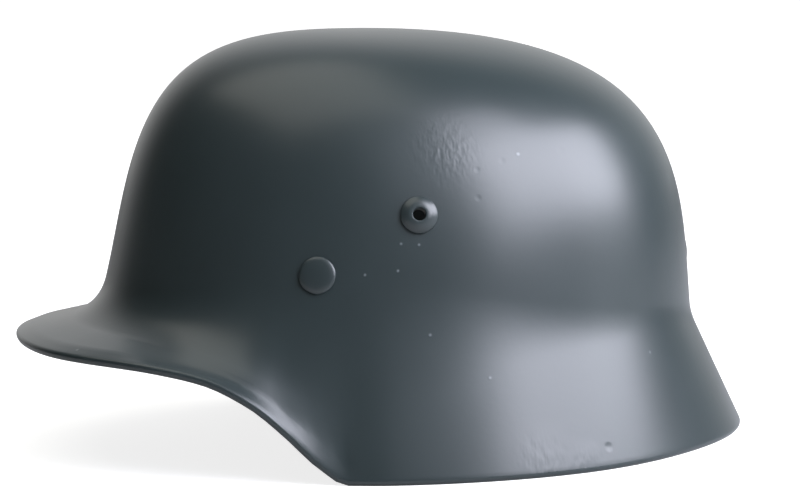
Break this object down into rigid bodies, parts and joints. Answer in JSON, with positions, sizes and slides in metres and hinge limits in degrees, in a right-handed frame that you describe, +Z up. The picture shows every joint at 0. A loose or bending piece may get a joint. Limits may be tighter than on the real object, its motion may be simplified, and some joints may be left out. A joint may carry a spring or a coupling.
{
  "type": "military helmet",
  "caption": "Pressed-steel combat helmet shell with a front visor, side skirts, a flared neck guard, a rolled rim, vent bushings and lining rivets.",
  "frame": {"origin": "middle of the plan's bounding box, at the height of the surface that the rim rests on", "axes": "+Z up, +Y towards the neck guard (the visor points to -Y), +X towards the wearer's left"},
  "size_m": [0.2296, 0.2818, 0.1583],
  "materials": {
    "shell_paint": "satin grey-green enamel on pressed steel, with a fine sprayed texture",
    "vent_paint": "satin grey-green enamel on a formed sheet-metal bushing",
    "rivet_paint": "satin grey-green enamel on a domed steel rivet head"
  },
  "bodies": {
    "root": {"shell": "shell_paint", "vent_bushing_left": "vent_paint", "vent_bushing_right": "vent_paint", "rivet_left": "rivet_paint", "rivet_right": "rivet_paint", "rivet_rear": "rivet_paint"}
  },
  "joints": []
}
